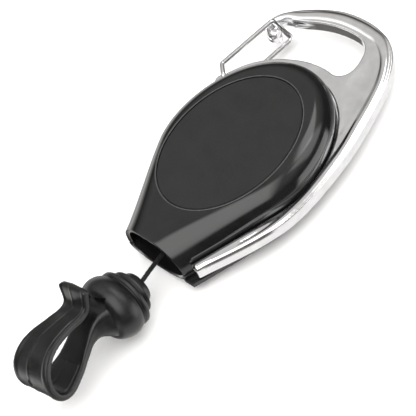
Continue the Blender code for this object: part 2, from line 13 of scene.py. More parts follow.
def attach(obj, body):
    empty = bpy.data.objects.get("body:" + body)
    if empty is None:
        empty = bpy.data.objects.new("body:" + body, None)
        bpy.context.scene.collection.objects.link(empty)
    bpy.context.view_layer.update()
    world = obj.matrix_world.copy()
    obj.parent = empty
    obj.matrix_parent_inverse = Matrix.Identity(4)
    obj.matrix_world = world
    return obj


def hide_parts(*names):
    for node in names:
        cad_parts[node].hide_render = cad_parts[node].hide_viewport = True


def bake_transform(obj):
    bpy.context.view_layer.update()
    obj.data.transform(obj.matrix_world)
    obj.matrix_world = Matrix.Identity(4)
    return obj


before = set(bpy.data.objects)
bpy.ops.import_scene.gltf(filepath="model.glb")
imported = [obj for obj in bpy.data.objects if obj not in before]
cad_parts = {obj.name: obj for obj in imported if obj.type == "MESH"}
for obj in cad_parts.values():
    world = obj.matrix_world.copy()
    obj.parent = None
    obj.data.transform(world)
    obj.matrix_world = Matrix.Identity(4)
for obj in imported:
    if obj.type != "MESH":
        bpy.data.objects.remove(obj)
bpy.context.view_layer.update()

MM = 0.001

# Case
CASE_HALF_WIDTH = 21.8
CASE_TOP = 28.3
CASE_BELLY = 25.0
MOUTH_Y = -35.1
MOUTH_HALF_WIDTH = 9.9
CASE_HEIGHT = 16.2
PARTING_Z = 5.8
PARTING_GAP = 0.16
WALL = 1.3
FRONT_ROUND = 5.6
REAR_ROUND = 4.2
# Below MOUTH_BLEND_Y the shoulders change to the mouth's width and heights
MOUTH_BLEND_Y = -8.0
MOUTH_SHOULDER = 9.0
FRONT_MOUTH_RISE = 9.6
REAR_MOUTH_RISE = 5.3
LIP_ROUND = 0.32
RAMP_LENGTH = 10.0
RAMP_RISE = 1.7
RAMP_STEP = 0.8

# Label
LABEL_Y = -2.0
LABEL_HALF_WIDTH = 16.2
LABEL_HALF_LENGTH = 21.8
LABEL_TOP = 16.12
LABEL_DEPTH = 0.75
LABEL_THICKNESS = 0.4
LABEL_EDGE = 0.12
LABEL_GAP = 0.25
# Raised line round the label: distance out, depth of its middle, half-width and half-height
LABEL_BEAD_OUT = 0.42
LABEL_BEAD_DEPTH = 0.08
LABEL_BEAD_HALF_WIDTH = 0.2
LABEL_BEAD_HALF_HEIGHT = 0.14

# Shelf of the rear shell, which fades out over its last points
LEDGE_INNER = -0.7
LEDGE_OUTER = 2.3
LEDGE_LOW = 2.9
LEDGE_HIGH = 4.2
LEDGE_POINTS = 26
LEDGE_FADE = 9

# Carabiner frame and gate
FRAME_Z = 7.0
FRAME_HALF = 2.3
WEB_HALF = 1.85
GATE_PIVOT = (-20.5, 16.2)
GATE_LEG_Z = 3.4
WIRE_RADIUS = 0.7
WIRE_BEND = 1.0
PIVOT_GAP = 0.25
PIVOT_DEPTH = 1.9
FOOT_DEPTH = 1.6
LUG_CENTRE = (-20.7, 15.6)
LUG_RADIUS = 2.3

# Cord and clip
CORD_RADIUS = 0.55
CORD_Z = 8.0
CORD_GAP = 0.3
WINDING_RADIUS = 13.6
CLIP_TOP = (3.1, -43.8, 8.0)
CLIP_YAW = math.radians(-2.8)
CLIP_PITCH = math.radians(12.3)
CLIP_ROLL = math.radians(-13.5)
RING_RADIUS = 7.8
COLLAR_RADIUS = 6.1
RIBBON_THICKNESS = 1.9

# Screws through the back
SCREW_PLACES = [(-8.6, -22.6), (8.6, -22.6), (0.0, 22.8)]
SCREW_RECESS = 2.05

# Camera: place in metres, turn about X, Y and Z in degrees, focal length
CAMERA_PLACE = (0.20003, -0.11472, 0.27608)
CAMERA_TURN = (36.129, 16.796, 42.080)
CAMERA_LENS = 119.87


# ------------------------------------------------------------ node helpers

class Nodes:
    """Short way to build a material's or the world's node tree."""

    def __init__(self, tree):
        self.tree = tree

    def add(self, kind, operation=None):
        node = self.tree.nodes.new(kind)
        if operation:
            node.operation = operation
        return node

    def link(self, source, target):
        self.tree.links.new(source, target)

    def noise(self, coords, scale, detail=4.0, rough=0.55):
        node = self.add("ShaderNodeTexNoise")
        node.inputs["Scale"].default_value = scale
        node.inputs["Detail"].default_value = detail
        node.inputs["Roughness"].default_value = rough
        self.link(coords, node.inputs["Vector"])
        return node.outputs["Fac"]

    def spread(self, value, from_low, from_high, to_low, to_high):
        node = self.add("ShaderNodeMapRange")
        for name, number in (("From Min", from_low), ("From Max", from_high),
                             ("To Min", to_low), ("To Max", to_high)):
            node.inputs[name].default_value = number
        self.link(value, node.inputs["Value"])
        return node.outputs["Result"]

    def math(self, kind, first, second):
        node = self.add("ShaderNodeMath", operation=kind)
        for socket, value in zip(node.inputs, (first, second)):
            if isinstance(value, (int, float)):
                socket.default_value = value
            else:
                self.link(value, socket)
        return node.outputs["Value"]

    def bump(self, height, strength, distance):
        node = self.add("ShaderNodeBump")
        node.inputs["Strength"].default_value = strength
        node.inputs["Distance"].default_value = distance
        self.link(height, node.inputs["Height"])
        return node.outputs["Normal"]

    def colours(self, value, stops):
        node = self.add("ShaderNodeValToRGB")
        ramp = node.color_ramp
        while len(ramp.elements) < len(stops):
            ramp.elements.new(0.5)
        for element, (place, colour) in zip(ramp.elements, stops):
            element.position = place
            element.color = (*colour, 1.0)
        self.link(value, node.inputs["Fac"])
        return node.outputs["Color"]


def material(name, base, roughness, metallic=0.0, coat=0.0, specular=0.5):
    made = bpy.data.materials.new(name)
    made.use_nodes = True
    nodes = Nodes(made.node_tree)
    shader = made.node_tree.nodes["Principled BSDF"]
    shader.inputs["Base Color"].default_value = (*base, 1.0)
    shader.inputs["Roughness"].default_value = roughness
    shader.inputs["Metallic"].default_value = metallic
    shader.inputs["Coat Weight"].default_value = coat
    shader.inputs["Specular IOR Level"].default_value = specular
    coords = nodes.add("ShaderNodeTexCoord").outputs["Object"]
    return made, nodes, shader, coords


def gloss_black():
    """Polished moulded plastic: faint orange peel, handling haze and dust."""
    made, nodes, shader, coords = material("gloss_black", (0.008, 0.008, 0.0082), 0.1, coat=0.2)
    shader.inputs["Coat Roughness"].default_value = 0.04
    haze = nodes.noise(coords, 160.0, 5.0)
    grain = nodes.noise(coords, 5200.0, 2.0)
    dust = nodes.spread(grain, 0.70, 0.78, 0.0, 1.0)
    tone = nodes.spread(haze, 0.35, 0.7, 0.0, 1.0)
    base = nodes.colours(tone, [(0.0, (0.006, 0.006, 0.0062)), (1.0, (0.010, 0.010, 0.0102))])
    nodes.link(base, shader.inputs["Base Color"])
    rough = nodes.spread(haze, 0.3, 0.75, 0.07, 0.17)
    nodes.link(nodes.math("ADD", rough, nodes.math("MULTIPLY", dust, 0.18)),
               shader.inputs["Roughness"])
    peel = nodes.noise(coords, 900.0, 2.0)
    nodes.link(nodes.bump(peel, 0.05, 0.0001), shader.inputs["Normal"])
    return made


def label_matte():
    """Matte printed film with a fine pebble."""
    made, nodes, shader, coords = material("label_matte", (0.015, 0.015, 0.0152), 0.55, specular=0.3)
    pebble = nodes.noise(coords, 4200.0, 3.0, 0.6)
    cloud = nodes.noise(coords, 220.0, 4.0)
    tone = nodes.math("MULTIPLY", nodes.math("ADD", pebble, cloud), 0.5)
    base = nodes.colours(tone, [(0.3, (0.011, 0.011, 0.0112)), (0.7, (0.019, 0.019, 0.0192))])
    nodes.link(base, shader.inputs["Base Color"])
    nodes.link(nodes.spread(cloud, 0.3, 0.7, 0.5, 0.68), shader.inputs["Roughness"])
    nodes.link(nodes.bump(pebble, 0.35, 0.00012), shader.inputs["Normal"])
    return made


def satin_edge_painted_sheen():
    """Rolled satin edge round the label, coloured slightly lighter than the case as a painted
    highlight along the bead.
    """
    made, nodes, shader, coords = material("satin_edge_painted_sheen", (0.045, 0.045, 0.046), 0.35)
    cloud = nodes.noise(coords, 900.0, 3.0)
    base = nodes.colours(cloud, [(0.3, (0.036, 0.036, 0.037)), (0.7, (0.055, 0.055, 0.056))])
    nodes.link(base, shader.inputs["Base Color"])
    nodes.link(nodes.spread(cloud, 0.3, 0.7, 0.28, 0.42), shader.inputs["Roughness"])
    nodes.link(nodes.bump(cloud, 0.1, 0.0001), shader.inputs["Normal"])
    return made


def chrome_plate():
    """Bright plate over a die casting: mirror on the bar, satin on the web's face."""
    made, nodes, shader, coords = material("chrome_plate", (0.86, 0.86, 0.87), 0.06, 1.0)
    split = nodes.add("ShaderNodeSeparateXYZ")
    nodes.link(coords, split.inputs[0])
    height = split.outputs["Z"]
    low = (FRAME_Z + WEB_HALF - 0.35) * MM
    high = (FRAME_Z + WEB_HALF + 0.35) * MM
    below_bar = nodes.spread(height, low, high, 1.0, 0.0)
    above_side = nodes.spread(height, (FRAME_Z + 0.9) * MM, (FRAME_Z + 1.3) * MM, 0.0, 1.0)
    web = nodes.math("MULTIPLY", below_bar, above_side)
    stain = nodes.noise(coords, 240.0, 5.0)
    pits = nodes.noise(coords, 3000.0, 2.0)
    base = nodes.colours(stain, [(0.3, (0.80, 0.80, 0.81)), (0.7, (0.92, 0.92, 0.93))])
    nodes.link(base, shader.inputs["Base Color"])
    polish = nodes.spread(stain, 0.3, 0.7, 0.035, 0.1)
    satin = nodes.math("MULTIPLY", web, 0.24)
    nodes.link(nodes.math("ADD", polish, satin), shader.inputs["Roughness"])
    cast = nodes.math("ADD", nodes.noise(coords, 420.0, 3.0), nodes.math("MULTIPLY", pits, 0.12))
    nodes.link(nodes.bump(cast, 0.06, 0.0002), shader.inputs["Normal"])
    return made


def bright_wire():
    """Drawn and plated spring wire."""
    made, nodes, shader, coords = material("bright_wire", (0.74, 0.74, 0.75), 0.16, 1.0)
    mapping = nodes.add("ShaderNodeMapping")
    mapping.inputs["Scale"].default_value = (1.0, 0.08, 1.0)
    nodes.link(coords, mapping.inputs["Vector"])
    lines = nodes.noise(mapping.outputs["Vector"], 6000.0, 2.0)
    nodes.link(nodes.spread(lines, 0.3, 0.7, 0.1, 0.26), shader.inputs["Roughness"])
    nodes.link(nodes.bump(lines, 0.12, 0.00005), shader.inputs["Normal"])
    return made


def satin_black():
    """Moulded clip plastic with the tool's fine texture and rubbed edges."""
    made, nodes, shader, coords = material("satin_black", (0.006, 0.006, 0.0062), 0.33)
    grain = nodes.noise(coords, 2600.0, 3.0)
    wear = nodes.noise(coords, 260.0, 5.0)
    geometry = nodes.add("ShaderNodeNewGeometry")
    edges = nodes.spread(geometry.outputs["Pointiness"], 0.52, 0.60, 0.0, 0.5)
    tone = nodes.math("ADD", nodes.spread(wear, 0.3, 0.7, 0.0, 0.5), edges)
    base = nodes.colours(tone, [(0.0, (0.004, 0.004, 0.0042)), (1.0, (0.016, 0.016, 0.0163))])
    nodes.link(base, shader.inputs["Base Color"])
    nodes.link(nodes.spread(wear, 0.3, 0.7, 0.29, 0.44), shader.inputs["Roughness"])
    nodes.link(nodes.bump(grain, 0.14, 0.00008), shader.inputs["Normal"])
    return made


def braided_black():
    """Black polyester braid."""
    made, nodes, shader, coords = material("braided_black", (0.008, 0.008, 0.0082), 0.62, specular=0.3)
    fibres = nodes.noise(coords, 7000.0, 3.0)
    base = nodes.colours(fibres, [(0.3, (0.004, 0.004, 0.0042)), (0.7, (0.014, 0.014, 0.0143))])
    nodes.link(base, shader.inputs["Base Color"])
    nodes.link(nodes.spread(fibres, 0.3, 0.7, 0.5, 0.75), shader.inputs["Roughness"])
    nodes.link(nodes.bump(fibres, 0.4, 0.0001), shader.inputs["Normal"])
    return made


def plated_steel(name, base, rough):
    """Zinc plated or blued steel with fine turned lines."""
    made, nodes, shader, coords = material(name, base, rough, 1.0)
    lines = nodes.noise(coords, 3600.0, 3.0)
    nodes.link(nodes.spread(lines, 0.3, 0.7, rough - 0.08, rough + 0.1),
               shader.inputs["Roughness"])
    nodes.link(nodes.bump(lines, 0.1, 0.00005), shader.inputs["Normal"])
    return made


def acetal():
    """Natural acetal, slightly waxy."""
    made, nodes, shader, coords = material("acetal", (0.72, 0.71, 0.66), 0.42)
    shader.inputs["Subsurface Weight"].default_value = 0.1
    shader.inputs["Subsurface Scale"].default_value = 0.001
    cloud = nodes.noise(coords, 400.0, 4.0)
    base = nodes.colours(cloud, [(0.3, (0.68, 0.67, 0.62)), (0.7, (0.76, 0.75, 0.71))])
    nodes.link(base, shader.inputs["Base Color"])
    nodes.link(nodes.spread(cloud, 0.3, 0.7, 0.36, 0.5), shader.inputs["Roughness"])
    nodes.link(nodes.bump(cloud, 0.1, 0.0001), shader.inputs["Normal"])
    return made


# ------------------------------------------------------------ mesh helpers

def add_piece(name, mesh, look, body, replaced=(), sharp=None):
    mesh.shade_smooth()
    if sharp:
        mesh.set_sharp_from_angle(angle=math.radians(sharp))
    obj = bpy.data.objects.new(name, mesh)
    bpy.context.scene.collection.objects.link(obj)
    mesh.materials.clear()
    mesh.materials.append(look)
    if body:
        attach(obj, body)
    if replaced:
        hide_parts(*replaced)
    return obj


def scratch_object(name, mesh):
    """Unrendered object that a modifier works on; removed once its mesh is made."""
    obj = bpy.data.objects.new(name, mesh)
    bpy.context.scene.collection.objects.link(obj)
    obj.hide_render = True
    return obj


def finished_mesh(obj, name):
    """Mesh with the object's modifiers applied; the object is removed."""
    bpy.context.view_layer.update()
    evaluated = obj.evaluated_get(bpy.context.evaluated_depsgraph_get())
    mesh = bpy.data.meshes.new_from_object(evaluated)
    mesh.transform(obj.matrix_world)
    mesh.name = name
    bpy.data.objects.remove(obj, do_unlink=True)
    return mesh


def cut(mesh, tools):
    """Apply (mesh, operation) booleans to a mesh, in order."""
    target = scratch_object("cut_target", mesh)
    helpers = []
    for tool, operation in tools:
        helper = scratch_object("cut_tool", tool)
        helpers.append(helper)
        modifier = target.modifiers.new("cut", "BOOLEAN")
        modifier.operation = operation
        modifier.object = helper
        modifier.solver = "EXACT"
    result = finished_mesh(target, mesh.name)
    for helper in helpers:
        bpy.data.objects.remove(helper, do_unlink=True)
    return result


def fused(meshes, voxel, smoothing):
    """Join overlapping closed meshes into one cast body with soft fillets."""
    bm = bmesh.new()
    for mesh in meshes:
        bm.from_mesh(mesh)
    bmesh.ops.recalc_face_normals(bm, faces=bm.faces)
    joined = bpy.data.meshes.new("joined")
    bm.to_mesh(joined)
    bm.free()
    obj = scratch_object("joined", joined)
    remesh = obj.modifiers.new("cast", "REMESH")
    remesh.mode = "VOXEL"
    remesh.voxel_size = voxel * MM
    smooth = obj.modifiers.new("fillet", "SMOOTH")
    smooth.factor = 0.5
    smooth.iterations = smoothing
    return finished_mesh(obj, "fused")


def mesh_of(bm, name):
    bmesh.ops.recalc_face_normals(bm, faces=bm.faces)
    mesh = bpy.data.meshes.new(name)
    bm.to_mesh(mesh)
    bm.free()
    return mesh


def block(size, centre):
    bm = bmesh.new()
    bmesh.ops.create_cube(bm, size=1.0)
    bmesh.ops.scale(bm, verts=bm.verts, vec=Vector(size) * MM)
    bmesh.ops.translate(bm, verts=bm.verts, vec=Vector(centre) * MM)
    return mesh_of(bm, "block")


def cylinder(radius, low, high, centre=(0.0, 0.0), segments=64):
    bm = bmesh.new()
    bmesh.ops.create_cone(bm, cap_ends=True, segments=segments, depth=(high - low) * MM,
                          radius1=radius * MM, radius2=radius * MM)
    place = Vector((centre[0], centre[1], (low + high) / 2)) * MM
    bmesh.ops.translate(bm, verts=bm.verts, vec=place)
    return mesh_of(bm, "cylinder")


def turned(profile, segments=96):
    """Closed (radius, height) profile turned about Z."""
    bm = bmesh.new()
    rings = []
    for k in range(segments):
        a = 2 * math.pi * k / segments
        rings.append([bm.verts.new(Vector((r * math.cos(a), r * math.sin(a), z)) * MM)
                      for r, z in profile])
    count = len(profile)
    for k in range(segments):
        here = rings[k]
        there = rings[(k + 1) % segments]
        for i in range(count):
            j = (i + 1) % count
            bm.faces.new((here[i], here[j], there[j], there[i]))
    bmesh.ops.remove_doubles(bm, verts=bm.verts, dist=0.000002)
    return mesh_of(bm, "turned")


def loft(rings, capped=True):
    """Skin over rings of points, each a list of Vectors in millimetres."""
    bm = bmesh.new()
    rows = [[bm.verts.new(p * MM) for p in ring] for ring in rings]
    count = len(rows[0])
    for low, high in zip(rows, rows[1:]):
        for i in range(count):
            j = (i + 1) % count
            bm.faces.new((low[i], low[j], high[j], high[i]))
    if capped:
        bm.faces.new(rows[0][::-1])
        bm.faces.new(rows[-1])
    return mesh_of(bm, "loft")


def smooth_path(points, steps):
    """Catmull-Rom curve through points of any dimension."""
    knots = [Vector(p) for p in points]
    knots = [2 * knots[0] - knots[1]] + knots + [2 * knots[-1] - knots[-2]]
    path = []
    for a, b, c, d in zip(knots, knots[1:], knots[2:], knots[3:]):
        for k in range(steps):
            t = k / steps
            path.append(0.5 * (2 * b + (c - a) * t + (2 * a - 5 * b + 4 * c - d) * t ** 2
                               + (3 * b - a - 3 * c + d) * t ** 3))
    path.append(Vector(points[-1]))
    return path


def rounded_corners(points, radius, steps=8):
    """Straight runs whose corners turn at a bend radius."""
    path = [Vector(points[0])]
    for before, corner, after in zip(points, points[1:], points[2:]):
        corner = Vector(corner)
        into = (corner - Vector(before)).normalized()
        out = (Vector(after) - corner).normalized()
        turn = into.angle(out)
        start = corner - into * radius * math.tan(turn / 2)
        centre = start + (out - into * into.dot(out)).normalized() * radius
        axis = into.cross(out).normalized()
        for k in range(steps + 1):
            swing = Matrix.Rotation(turn * k / steps, 3, axis)
            path.append(centre + swing @ (start - centre))
    path.append(Vector(points[-1]))
    return path


def level_side(line, i):
    """Level direction square to a path at its point i."""
    ahead = (line[min(i + 1, len(line) - 1)] - line[max(i - 1, 0)]).xy.normalized()
    return Vector((ahead.y, -ahead.x, 0.0))


def oval_ring(centre, out, half_width, half_height, sides, blunt=1.0):
    """Upright ring of points round a centre; a blunt below 1 squares it off."""
    ring = []
    for k in range(sides):
        a = 2 * math.pi * k / sides
        c = math.copysign(abs(math.cos(a)) ** blunt, math.cos(a))
        s = math.copysign(abs(math.sin(a)) ** blunt, math.sin(a))
        ring.append(centre + out * c * half_width + Vector((0, 0, s * half_height)))
    return ring


def tube(path, radius, sides=20, wobble=None):
    """Round tube along points; wobble(distance, angle) changes its radius."""
    rings = []
    side = Vector((0.0, 0.0, 1.0))
    run = 0.0
    for i, point in enumerate(path):
        ahead = (path[min(i + 1, len(path) - 1)] - path[max(i - 1, 0)]).normalized()
        if abs(ahead.dot(side)) > 0.95:
            side = Vector((1.0, 0.0, 0.0)) if i == 0 else side
        side = (side - ahead * side.dot(ahead)).normalized()
        other = ahead.cross(side)
        if i:
            run += (point - path[i - 1]).length
        ring = []
        for k in range(sides):
            a = 2 * math.pi * k / sides
            r = radius + (wobble(run, a) if wobble else 0.0)
            ring.append(point + (side * math.cos(a) + other * math.sin(a)) * r)
        rings.append(ring)
    return loft(rings)


def plate(outline, low, high):
    """Flat extruded outline."""
    curve = bpy.data.curves.new("plate", "CURVE")
    curve.dimensions = "2D"
    curve.fill_mode = "BOTH"
    spline = curve.splines.new("POLY")
    spline.points.add(len(outline) - 1)
    for point, (x, y) in zip(spline.points, outline):
        point.co = (x * MM, y * MM, 0.0, 1.0)
    spline.use_cyclic_u = True
    curve.extrude = (high - low) / 2 * MM
    obj = bpy.data.objects.new("plate", curve)
    bpy.context.scene.collection.objects.link(obj)
    obj.location = (0, 0, (low + high) / 2 * MM)
    mesh = finished_mesh(obj, "plate")
    bm = bmesh.new()
    bm.from_mesh(mesh)
    bmesh.ops.remove_doubles(bm, verts=bm.verts, dist=0.000005)
    return mesh_of(bm, "plate")


# ------------------------------------------------------------ case

def taper_tangent():
    """Angle on the lower ellipse where a line from the mouth corner touches it."""
    reach = math.hypot(CASE_BELLY * MOUTH_HALF_WIDTH, CASE_HALF_WIDTH * MOUTH_Y)
    lean = math.atan2(-CASE_HALF_WIDTH * MOUTH_Y, CASE_BELLY * MOUTH_HALF_WIDTH)
    return lean - math.acos(CASE_HALF_WIDTH * CASE_BELLY / reach)


def case_point(angle, grow=0.0):
    """Point of the case's outline at an angle, moved out by grow, and its normal."""
    b = CASE_TOP if math.sin(angle) > 0 else CASE_BELLY
    point = Vector((CASE_HALF_WIDTH * math.cos(angle), b * math.sin(angle)))
    normal = Vector((math.cos(angle) / CASE_HALF_WIDTH, math.sin(angle) / b)).normalized()
    return point + normal * grow, normal


def case_side(grow=0.0, end_y=MOUTH_Y, arc_steps=56, taper_steps=18):
    """Right half of the case's outline as (x, y) points, from the mouth to the top."""
    touch = taper_tangent()
    start, normal = case_point(-touch, grow)
    along = Vector((normal.y, -normal.x))
    end = start + along * ((start.y - end_y) / -along.y)
    points = [tuple(end.lerp(start, k / taper_steps)) for k in range(taper_steps)]
    span = math.pi / 2 + touch
    for k in range(arc_steps + 1):
        points.append(tuple(case_point(-touch + span * k / arc_steps, grow)[0]))
    return points


def inset_point(x, y, grow):
    """Point of the case's outline moved out by grow, or in where grow is negative."""
    touch = taper_tangent()
    side = 1 if x >= 0 else -1
    edge, normal = case_point(-touch)
    if y <= edge.y + 1e-6:
        return (x + side * grow / normal.x, y)
    b = CASE_TOP if y > 0 else CASE_BELLY
    angle = math.atan2(y / b, abs(x) / CASE_HALF_WIDTH)
    point, _ = case_point(angle, grow)
    return (side * point.x, point.y)


def mouth_share(y):
    """0 over the round body, rising smoothly to 1 at the mouth."""
    share = min(max((y - MOUTH_BLEND_Y) / (MOUTH_Y - MOUTH_BLEND_Y), 0.0), 1.0)
    return share * share * (3 - 2 * share)


def shell(parting, face, body_round, mouth_rise, tools):
    """One half of the case: wall, shoulder, flat face, and a softened rim."""
    sign = 1 if face > parting else -1
    right = case_side()
    outline = [(-x, y) for x, y in right][:-1] + right[::-1]
    steps = 18
    rings = [[Vector((x, y, parting)) for x, y in outline]]
    for k in range(steps + 1):
        angle = math.pi / 2 * k / steps
        ring = []
        for x, y in outline:
            share = mouth_share(y)
            across = body_round + (MOUTH_SHOULDER - body_round) * share
            height = body_round + (mouth_rise - body_round) * share
            px, py = inset_point(x, y, -across * (1 - math.cos(angle)))
            ring.append(Vector((px, py, face - sign * height * (1 - math.sin(angle)))))
        rings.append(ring)
    bm = bmesh.new()
    rows = [[bm.verts.new(p * MM) for p in ring] for ring in rings]
    for low, high in zip(rows, rows[1:]):
        for i in range(len(outline) - 1):
            bm.faces.new((low[i], low[i + 1], high[i + 1], high[i]))
    bm.faces.new(rows[-1])
    bmesh.ops.recalc_face_normals(bm, faces=bm.faces)
    flat = max(bm.faces, key=lambda f: len(f.verts))
    if flat.normal.z * sign < 0:
        bmesh.ops.reverse_faces(bm, faces=bm.faces)
    mesh = bpy.data.meshes.new("shell")
    bm.to_mesh(mesh)
    bm.free()
    obj = scratch_object("shell", mesh)
    wall = obj.modifiers.new("wall", "SOLIDIFY")
    wall.thickness = WALL * MM
    wall.offset = -1.0
    if sign < 0:
        obj = scratch_object("shell", raised_mouth(finished_mesh(obj, "shell")))
    rim = obj.modifiers.new("rim", "BEVEL")
    rim.width = LIP_ROUND * MM
    rim.segments = 3
    rim.limit_method = "ANGLE"
    rim.angle_limit = math.radians(60)
    return cut(finished_mesh(obj, "shell"), tools)


def raised_mouth(mesh):
    """The back ramps up to the mouth, so its lip lies nearer the cord."""
    bm = bmesh.new()
    bm.from_mesh(mesh)
    y = MOUTH_Y + RAMP_STEP
    while y < MOUTH_Y + RAMP_LENGTH:
        bmesh.ops.bisect_plane(bm, geom=bm.verts[:] + bm.edges[:] + bm.faces[:],
                               plane_co=(0, y * MM, 0), plane_no=(0, 1, 0))
        y += RAMP_STEP
    for vert in bm.verts:
        share = min(max((MOUTH_Y + RAMP_LENGTH - vert.co.y / MM) / RAMP_LENGTH, 0.0), 1.0)
        depth = min(max((PARTING_Z - vert.co.z / MM) / PARTING_Z, 0.0), 1.0)
        vert.co.z += RAMP_RISE * MM * share * share * (3 - 2 * share) * depth
    bmesh.ops.recalc_face_normals(bm, faces=bm.faces)
    made = bpy.data.meshes.new("raised")
    bm.to_mesh(made)
    bm.free()
    return made


def oval(grow, low, high):
    """Upright oval block with the label's outline, moved out by grow."""
    bm = bmesh.new()
    bmesh.ops.create_cone(bm, cap_ends=True, segments=160, radius1=1.0, radius2=1.0,
                          depth=(high - low) * MM)
    bmesh.ops.scale(bm, verts=bm.verts, vec=((LABEL_HALF_WIDTH + grow) * MM,
                                             (LABEL_HALF_LENGTH + grow) * MM, 1.0))
    centre = Vector((0, LABEL_Y, (low + high) / 2)) * MM
    bmesh.ops.translate(bm, verts=bm.verts, vec=centre)
    return mesh_of(bm, "oval")


def weighted(obj):
    """Flat faces keep flat shading right up to their rounded borders."""
    modifier = obj.modifiers.new("normals", "WEIGHTED_NORMAL")
    modifier.mode = "FACE_AREA"
    modifier.weight = 50
    modifier.keep_sharp = True


def make_case(gloss):
    recess = oval(LABEL_GAP, CASE_HEIGHT - LABEL_DEPTH, CASE_HEIGHT + 3)
    front = shell(PARTING_Z + PARTING_GAP, CASE_HEIGHT, FRONT_ROUND, FRONT_MOUTH_RISE,
                  [(recess, "DIFFERENCE")])
    weighted(add_piece("case_front", front, gloss, "housing", ["front_shell"], sharp=38))
    tools = [(ledge(), "UNION")]
    for place in SCREW_PLACES:
        tools.append((cylinder(SCREW_RECESS, -1.0, 1.2, place), "DIFFERENCE"))
    rear = shell(PARTING_Z - PARTING_GAP, 0.0, REAR_ROUND, REAR_MOUTH_RISE, tools)
    weighted(add_piece("case_rear", rear, gloss, "housing", ["rear_shell"], sharp=38))


def ledge():
    """Shelf of the rear shell that the frame's lower end lies on."""
    inner = case_side(LEDGE_INNER)[:LEDGE_POINTS]
    outer = case_side(LEDGE_OUTER)[:LEDGE_POINTS]
    full = LEDGE_POINTS - 1 - LEDGE_FADE
    trimmed = []
    for i, (x, y) in enumerate(outer):
        fade = min(max((i - full) / LEDGE_FADE, 0.0), 1.0)
        trimmed.append((x * (1 - fade) + inner[-1][0] * fade, y))
    return plate(inner + trimmed[::-1], LEDGE_LOW, LEDGE_HIGH)


def make_label(look):
    bm = bmesh.new()
    bm.from_mesh(oval(0.0, LABEL_TOP - LABEL_THICKNESS, LABEL_TOP))
    middle = LABEL_TOP - LABEL_THICKNESS / 2
    rim = [e for e in bm.edges if all(v.co.z > middle * MM for v in e.verts)]
    bmesh.ops.bevel(bm, geom=rim, offset=LABEL_EDGE * MM, segments=2, affect="EDGES")
    add_piece("label_inlay", mesh_of(bm, "label_inlay"), look, "housing",
              ["front_label"], sharp=40)


def make_label_bead(look):
    """Fine raised line round the label's recess."""
    segments = 200
    rings = []
    for k in range(segments + 1):
        a = 2 * math.pi * (k % segments) / segments
        centre = Vector(((LABEL_HALF_WIDTH + LABEL_BEAD_OUT) * math.cos(a),
                         LABEL_Y + (LABEL_HALF_LENGTH + LABEL_BEAD_OUT) * math.sin(a),
                         CASE_HEIGHT - LABEL_BEAD_DEPTH))
        out = Vector((math.cos(a) / LABEL_HALF_WIDTH, math.sin(a) / LABEL_HALF_LENGTH, 0))
        rings.append(oval_ring(centre, out.normalized(), LABEL_BEAD_HALF_WIDTH,
                               LABEL_BEAD_HALF_HEIGHT, 10))
    bm = bmesh.new()
    bm.from_mesh(loft(rings, capped=False))
    bmesh.ops.remove_doubles(bm, verts=bm.verts, dist=0.000002)
    add_piece("label_bead", mesh_of(bm, "label_bead"), look, "housing")


# ------------------------------------------------------------ frame and gate

WEB_GAP = 0.3
WEB_LOW_END = -32.6
# Where the web's outline comes back to the case's wall below the lug, in degrees
WEB_END = 159.1955


def frame_outline():
    """Outline of the web: round the spine and hook, then back along the case's wall."""
    spine_and_hook = smooth_path([
        (13.4, -33.2), (20.0, -19.6), (23.0, -12.8), (24.4, -6.0), (24.7, 2.0), (24.1, 13.5),
        (22.7, 22.0), (20.9, 30.0), (18.9, 37.0), (15.5, 43.3), (11.1, 47.5), (5.2, 49.9),
        (-1.0, 50.6), (-7.0, 50.1), (-13.4, 47.8), (-18.6, 44.8), (-20.4, 43.6)], 6)
    opening = smooth_path([
        (-17.8, 41.4), (-14.2, 42.6), (-10.0, 44.2), (-5.0, 45.3), (0.6, 45.4), (4.4, 44.5),
        (6.9, 42.4), (8.1, 39.4), (8.5, 35.6), (7.4, 32.9), (5.2, 31.7), (2.0, 32.1),
        (-2.0, 32.1), (-6.4, 31.3), (-12.3, 28.8), (-17.6, 24.8), (-21.0, 20.0),
        (-22.6, 16.0), (-22.9, 12.6), (-22.5, 10.2)], 6)
    first = math.radians(WEB_END)
    span = first + taper_tangent()
    steps = 120
    wall = [case_point(first - span * k / steps, WEB_GAP)[0] for k in range(steps + 1)]
    wall.append(Vector(case_side(WEB_GAP, WEB_LOW_END)[0]))
    return [tuple(p.xy) for p in spine_and_hook + opening + wall]


# Bar of the carabiner: middle line and half-width, from its lower end to its nose
BAR_LINE = [
    (12.75, -32.6, 1.05), (18.9, -20.7, 1.05), (21.8, -12.9, 1.25), (22.9, -5.6, 1.55),
    (23.1, 2.0, 1.65), (22.5, 12.8, 1.8), (20.9, 21.4, 1.9), (19.2, 29.4, 1.85),
    (17.1, 36.2, 1.75), (13.7, 42.1, 1.85), (8.9, 46.4, 2.4), (4.0, 47.7, 2.65),
    (-0.6, 48.1, 2.65), (-6.0, 47.8, 2.6), (-11.6, 46.2, 2.4), (-16.6, 43.7, 2.1),
    (-20.4, 41.9, 1.5), (-22.3, 39.3, 1.2), (-22.0, 37.0, 1.5), (-20.4, 36.1, 2.1),
    (-19.2, 36.1, 2.1), (-18.3, 36.3, 1.2)]
# Rim of the web along the top of the case, from the hook's root to the lug
RIM_LINE = [
    (6.8, 31.0), (2.4, 30.9), (-2.2, 30.9), (-6.6, 30.0), (-11.6, 27.6), (-16.2, 23.7),
    (-19.4, 19.4)]
RIM_RADIUS = 1.0
BEAD_RADIUS = 1.3
BEAD_GAP = 0.25
BEAD_RISE = 1.15
BEAD_START = -32.3
BEAD_END = -5.0
BEAD_FADE = 13.0
BEAD_THINNEST = 0.35
